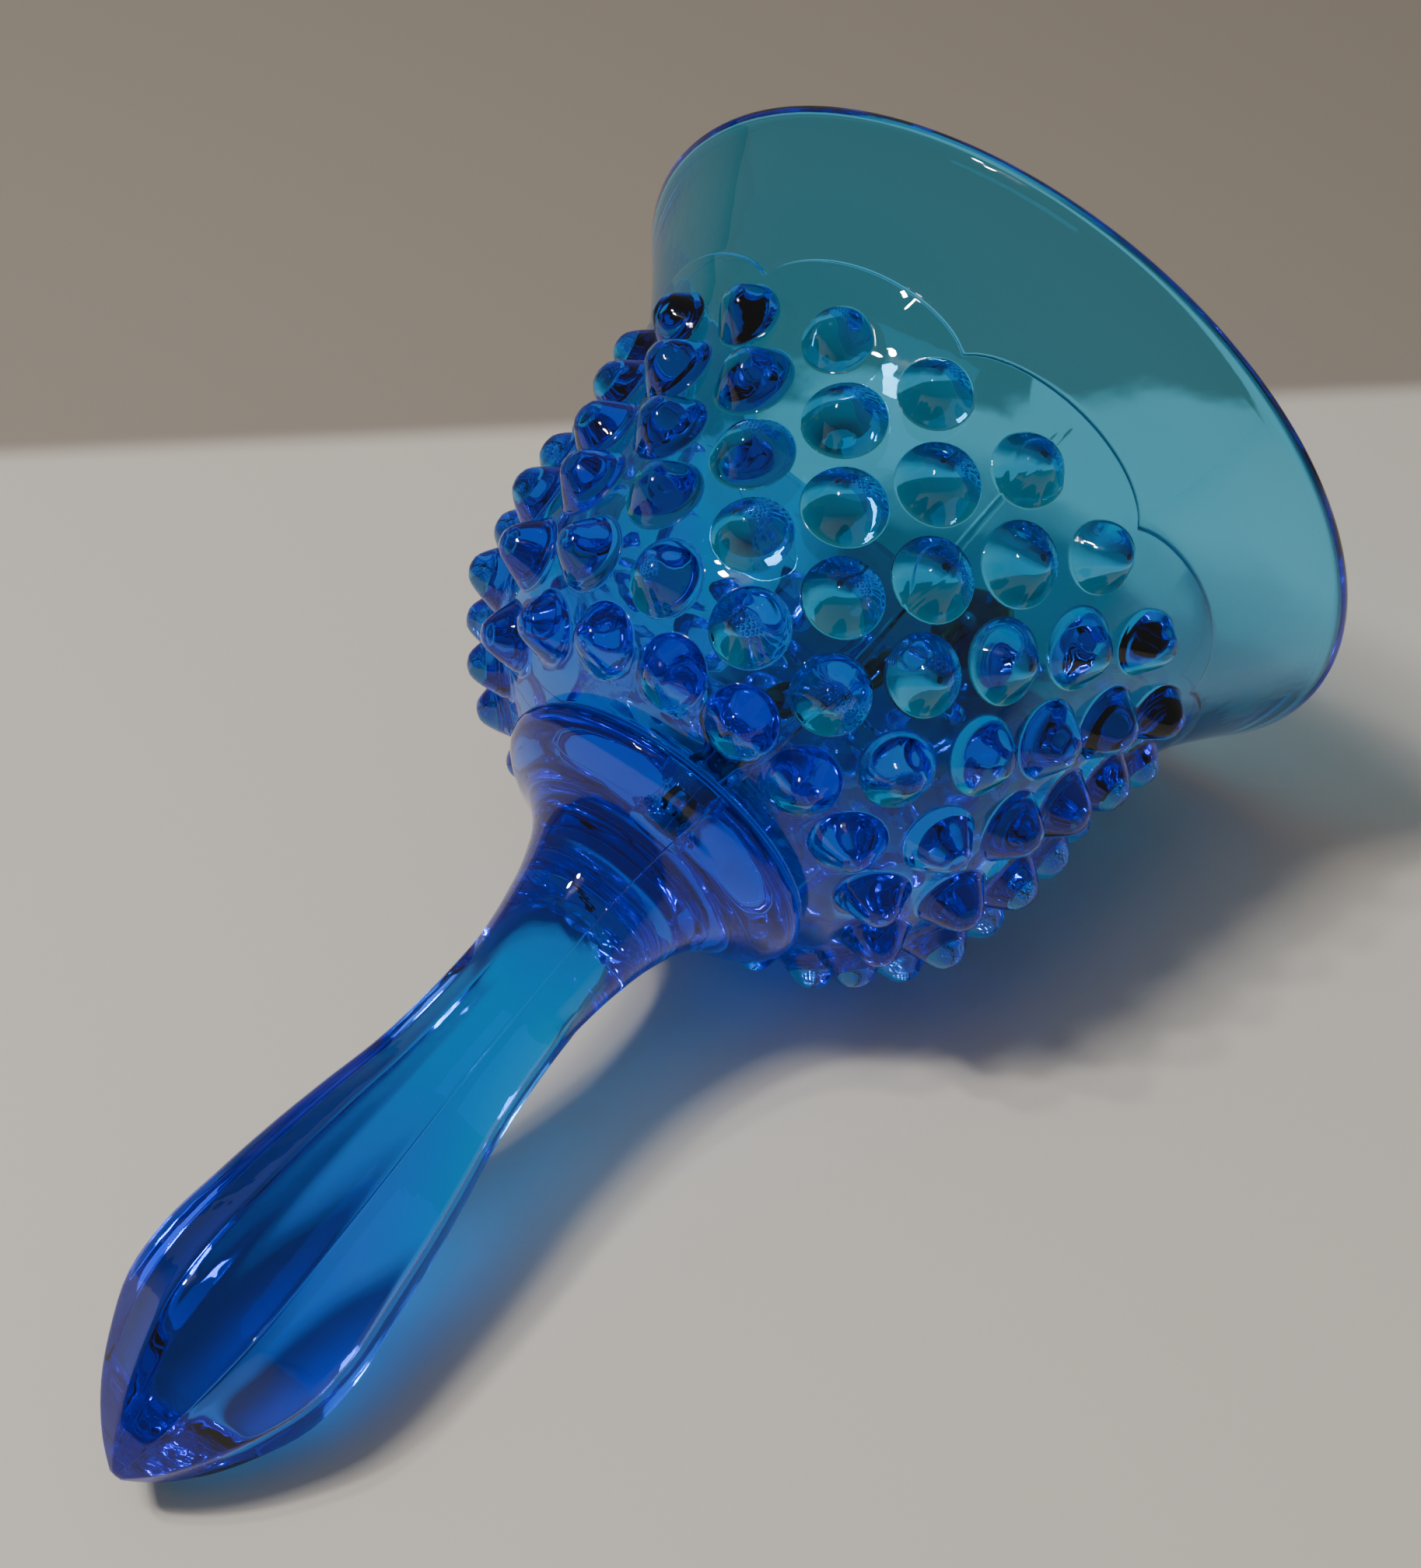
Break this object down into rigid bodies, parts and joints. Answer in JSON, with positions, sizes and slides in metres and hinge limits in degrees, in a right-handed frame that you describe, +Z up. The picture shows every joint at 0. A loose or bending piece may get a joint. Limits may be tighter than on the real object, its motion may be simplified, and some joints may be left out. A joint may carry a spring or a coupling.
{
  "type": "hand bell",
  "caption": "Pressed-glass hand bell lying on its side: studded body, flared mouth, faceted handle, and a ball clapper on a chain that swings inside.",
  "frame": {"origin": "middle of the outline on the surface the bell lies on", "axes": "+Z up, +X along the floor from the handle toward the mouth, +Y completes the right-handed frame; the bell's axis lies in the XZ plane and drops 15.16 degrees toward the handle"},
  "size_m": [0.153, 0.092, 0.0897],
  "materials": {
    "blue_glass": "clear cobalt blue pressed glass, fire polished",
    "cement": "dark set cement",
    "chain_metal": "dull brass wire",
    "dark_glass": "black glass bead, polished"
  },
  "bodies": {
    "glass": {"glass_bell": "blue_glass", "crown_plug": "cement", "hanger_eye": "chain_metal"},
    "link_01": {"chain_link_01": "chain_metal"},
    "link_02": {"chain_link_02": "chain_metal"},
    "link_03": {"chain_link_03": "chain_metal"},
    "link_04": {"chain_link_04": "chain_metal"},
    "link_05": {"chain_link_05": "chain_metal"},
    "link_06": {"chain_link_06": "chain_metal"},
    "link_07": {"chain_link_07": "chain_metal"},
    "link_08": {"chain_link_08": "chain_metal"},
    "link_09": {"chain_link_09": "chain_metal"},
    "link_10": {"chain_link_10": "chain_metal"},
    "clapper": {"clapper_pin": "chain_metal", "clapper_ball": "dark_glass"}
  },
  "joints": [
    {"name": "chain_swing", "type": "hinge", "parent": "glass", "child": "link_01", "pos_m": [0.01599, 0, 0.03235], "axis": [0, -1, 0], "range_deg": [0, 55]},
    {"name": "sway_02", "type": "hinge", "parent": "link_01", "child": "link_02", "pos_m": [0.0202, 0, 0.03075], "axis": [0.3557, 0, 0.9346], "range_deg": [-5, 5]},
    {"name": "lift_03", "type": "hinge", "parent": "link_02", "child": "link_03", "pos_m": [0.02445, 0, 0.02913], "axis": [0, -1, 0], "range_deg": [0, 6]},
    {"name": "sway_04", "type": "hinge", "parent": "link_03", "child": "link_04", "pos_m": [0.02871, 0, 0.02751], "axis": [-0.3557, 0, -0.9346], "range_deg": [-6, 6]},
    {"name": "lift_05", "type": "hinge", "parent": "link_04", "child": "link_05", "pos_m": [0.03296, 0, 0.02589], "axis": [0, -1, 0], "range_deg": [0, 6]},
    {"name": "sway_06", "type": "hinge", "parent": "link_05", "child": "link_06", "pos_m": [0.03721, 0, 0.02427], "axis": [0.3557, 0, 0.9346], "range_deg": [-8, 8]},
    {"name": "lift_07", "type": "hinge", "parent": "link_06", "child": "link_07", "pos_m": [0.04147, 0, 0.02265], "axis": [0, -1, 0], "range_deg": [0, 6]},
    {"name": "sway_08", "type": "hinge", "parent": "link_07", "child": "link_08", "pos_m": [0.04572, 0, 0.02103], "axis": [-0.3557, 0, -0.9346], "range_deg": [-12, 12]},
    {"name": "lift_09", "type": "hinge", "parent": "link_08", "child": "link_09", "pos_m": [0.04998, 0, 0.01941], "axis": [0, -1, 0], "range_deg": [0, 6]},
    {"name": "sway_10", "type": "hinge", "parent": "link_09", "child": "link_10", "pos_m": [0.05423, 0, 0.01779], "axis": [0.3557, 0, 0.9346], "range_deg": [-18, 18]},
    {"name": "clapper_lift", "type": "hinge", "parent": "link_10", "child": "clapper", "pos_m": [0.05849, 0, 0.01617], "axis": [0, -1, 0], "range_deg": [0, 6]}
  ]
}
